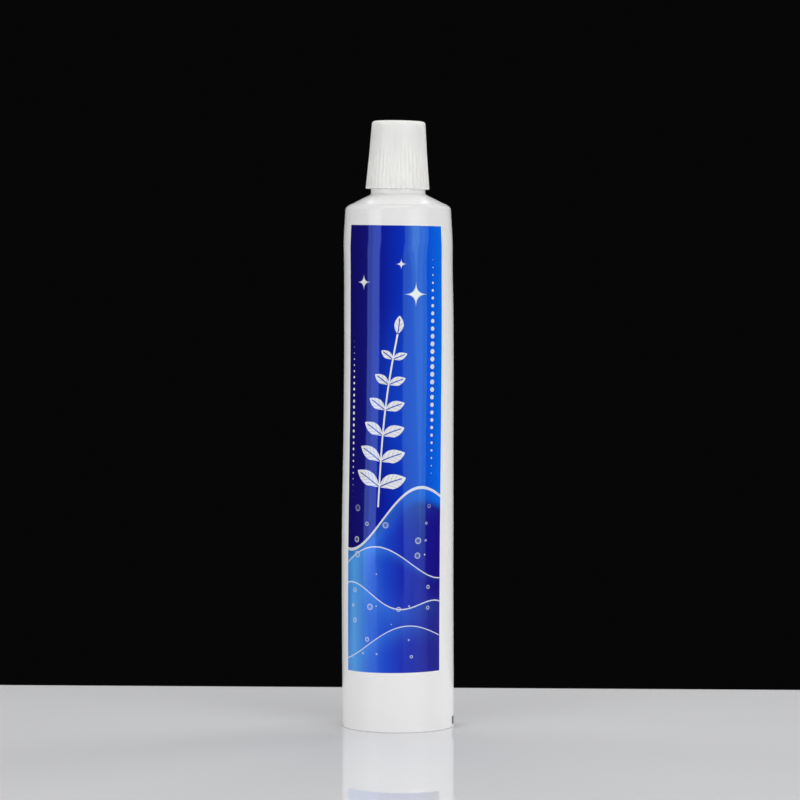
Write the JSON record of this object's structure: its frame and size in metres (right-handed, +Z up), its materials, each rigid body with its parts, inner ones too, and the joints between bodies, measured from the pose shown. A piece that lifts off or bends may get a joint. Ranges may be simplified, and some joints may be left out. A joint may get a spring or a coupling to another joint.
{
  "type": "toothpaste tube",
  "caption": "Empty laminate toothpaste tube standing on its open end, with a conical shoulder, a threaded neck and a ribbed screw cap that unscrews and lifts off.",
  "frame": {"origin": "middle of the sleeve's open end, in the plane that it stands on", "axes": "+Z up the tube's axis towards the cap, +Y towards the lap seam at the back, -Y towards the printed front"},
  "size_m": [0.028, 0.0281, 0.1532],
  "materials": {
    "sleeve_laminate": "glossy white laminate, printed in blue on the front",
    "moulded_head": "satin white moulded polyethylene",
    "moulded_cap": "satin warm white moulded polypropylene",
    "liner_foam": "matt white foamed sheet"
  },
  "bodies": {
    "tube": {"sleeve": "sleeve_laminate", "shoulder_and_neck": "moulded_head"},
    "cap_liner": {"cap_liner": "liner_foam"},
    "screw_cap": {"screw_cap": "moulded_cap"}
  },
  "joints": [
    {"name": "cap_lift", "type": "slide", "parent": "tube", "child": "cap_liner", "axis": [0, 0, 1], "range_m": [0, 0.0165]},
    {"name": "cap_turn", "type": "hinge", "parent": "cap_liner", "child": "screw_cap", "pos_m": [0, 0, 0.1445], "axis": [0, 0, 1], "range_deg": [0, 1981]}
  ],
  "couplings": [
    {"joint": "cap_turn", "follows": "cap_lift", "rad_per_m": 2094.4}
  ]
}
